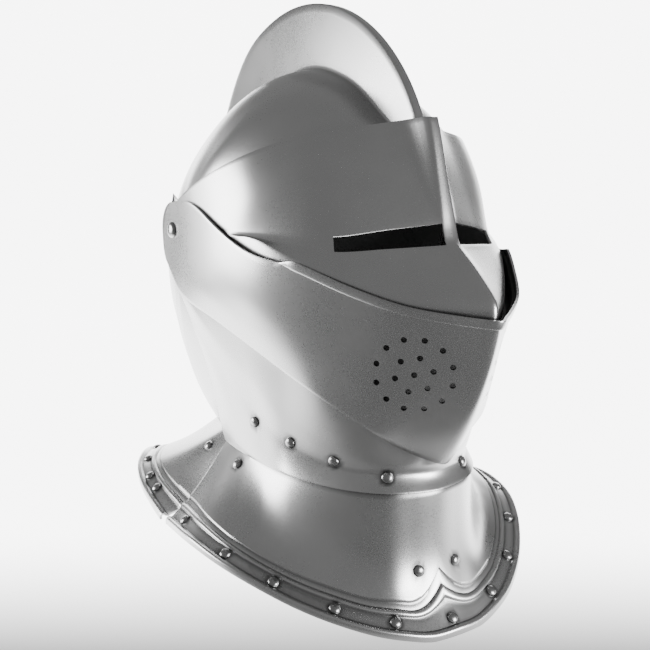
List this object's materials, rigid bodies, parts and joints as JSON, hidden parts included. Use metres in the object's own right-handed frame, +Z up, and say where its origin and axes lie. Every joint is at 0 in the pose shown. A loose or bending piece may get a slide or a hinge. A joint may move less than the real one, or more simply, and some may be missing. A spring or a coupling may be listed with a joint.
{
  "type": "close helmet",
  "caption": "Steel close helmet: tall-combed skull, pointed visor with eye slits, pierced upper bevor, lower bevor and riveted flaring gorget plates; visor and bevors lift on side pivots.",
  "frame": {"origin": "on the surface it stands on, under the middle of the bounding box", "axes": "+Z up, the face looks along -Y, the wearer's left is +X"},
  "size_m": [0.2366, 0.3567, 0.3732],
  "materials": {
    "plate": "satin brushed steel plate",
    "rivet": "polished steel dome"
  },
  "bodies": {
    "skull": {"pivot_bolt_left": "rivet", "pivot_bolt_right": "rivet", "rear_gorget_plate": "plate", "rear_rim_rivet_left_1": "rivet", "rear_rim_rivet_left_2": "rivet", "rear_rim_rivet_left_3": "rivet", "rear_rim_rivet_left_4": "rivet", "rear_rim_rivet_left_5": "rivet", "rear_rim_rivet_left_6": "rivet", "rear_rim_rivet_middle": "rivet", "rear_rim_rivet_right_1": "rivet", "rear_rim_rivet_right_2": "rivet", "rear_rim_rivet_right_3": "rivet", "rear_rim_rivet_right_4": "rivet", "rear_rim_rivet_right_5": "rivet", "rear_rim_rivet_right_6": "rivet", "rear_seam_rivet_left_1": "rivet", "rear_seam_rivet_right_1": "rivet", "skull": "plate"},
    "lower_bevor": {"front_gorget_plate": "plate", "front_middle_rivet_left_1": "rivet", "front_middle_rivet_right_1": "rivet", "front_rim_rivet_left_1": "rivet", "front_rim_rivet_left_2": "rivet", "front_rim_rivet_left_3": "rivet", "front_rim_rivet_left_4": "rivet", "front_rim_rivet_left_5": "rivet", "front_rim_rivet_middle": "rivet", "front_rim_rivet_right_1": "rivet", "front_rim_rivet_right_2": "rivet", "front_rim_rivet_right_3": "rivet", "front_rim_rivet_right_4": "rivet", "front_rim_rivet_right_5": "rivet", "front_seam_rivet_left_1": "rivet", "front_seam_rivet_right_1": "rivet", "lower_bevor": "plate", "neck_rivet_left_1": "rivet", "neck_rivet_left_2": "rivet", "neck_rivet_left_3": "rivet", "neck_rivet_left_4": "rivet", "neck_rivet_right_1": "rivet", "neck_rivet_right_2": "rivet", "neck_rivet_right_3": "rivet", "neck_rivet_right_4": "rivet"},
    "upper_bevor": {"upper_bevor": "plate"},
    "visor": {"visor": "plate"}
  },
  "joints": [
    {"name": "lower_bevor_lift", "type": "hinge", "parent": "skull", "child": "lower_bevor", "pos_m": [0, 0.02419, 0.227], "axis": [-1, 0, 0], "range_deg": [0, 55]},
    {"name": "upper_bevor_lift", "type": "hinge", "parent": "lower_bevor", "child": "upper_bevor", "pos_m": [0, 0.02419, 0.227], "axis": [-1, 0, 0], "range_deg": [0, 35]},
    {"name": "visor_lift", "type": "hinge", "parent": "upper_bevor", "child": "visor", "pos_m": [0, 0.02419, 0.227], "axis": [-1, 0, 0], "range_deg": [0, 50]}
  ]
}
